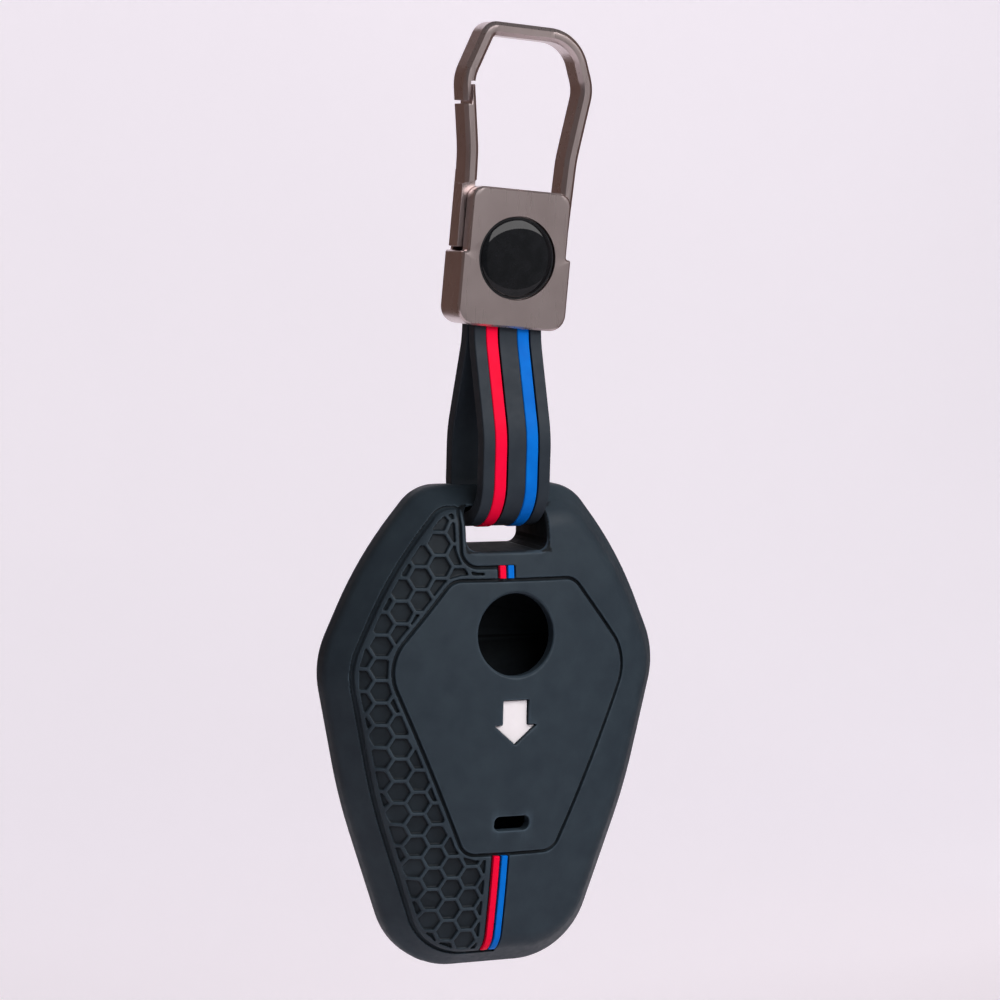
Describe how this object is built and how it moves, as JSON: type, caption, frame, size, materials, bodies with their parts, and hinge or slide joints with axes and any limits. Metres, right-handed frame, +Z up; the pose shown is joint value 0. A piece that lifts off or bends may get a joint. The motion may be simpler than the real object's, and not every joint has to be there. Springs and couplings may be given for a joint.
{
  "type": "key fob cover",
  "caption": "Soft diamond-shaped key fob cover with a honeycomb side field and coloured stripes, hung by a folded strap from a metal block with a spring-gate hook.",
  "frame": {"origin": "inside of the hook's crown, where a finger, ring or bag loop carries the whole object", "axes": "+Z up along the hanging direction, -Y toward the viewer out of the cover's front, +X to the right"},
  "size_m": [0.0555, 0.0156, 0.1448],
  "materials": {
    "silicone_black": "satin",
    "strap_black": "satin",
    "inlay_red": "satin",
    "inlay_blue": "satin",
    "arrow_white": "satin",
    "gunmetal": "satin plated",
    "steel": "bright",
    "badge_black": "gloss",
    "badge_resin": "gloss"
  },
  "bodies": {
    "keychain": {"hook_frame": "gunmetal", "gate_pin": "steel", "strap_pin": "steel", "gate_spring": "steel", "badge_base": "badge_black", "badge_dome": "badge_resin", "strap_band": "strap_black", "strap_stripe_red": "inlay_red", "strap_stripe_blue": "inlay_blue"},
    "gate": {"gate": "gunmetal"},
    "cover": {"cover_shell": "silicone_black", "tick_red": "inlay_red", "tick_blue": "inlay_blue", "stripe_red": "inlay_red", "stripe_blue": "inlay_blue", "arrow_inlay": "arrow_white"}
  },
  "joints": [
    {"name": "gate_hinge", "type": "hinge", "parent": "keychain", "child": "gate", "pos_m": [-0.00902, 0, -0.02945], "axis": [0, 1, 0], "range_deg": [0, 15], "stiffness_Nm_per_rad": 0.04, "springref_deg": -14.32, "deforming": ["gate_spring"]},
    {"name": "cover_swing", "type": "hinge", "parent": "keychain", "child": "cover", "pos_m": [-0.00296, 0, -0.0667], "axis": [1, 0, 0], "range_deg": [-45, 45]}
  ]
}
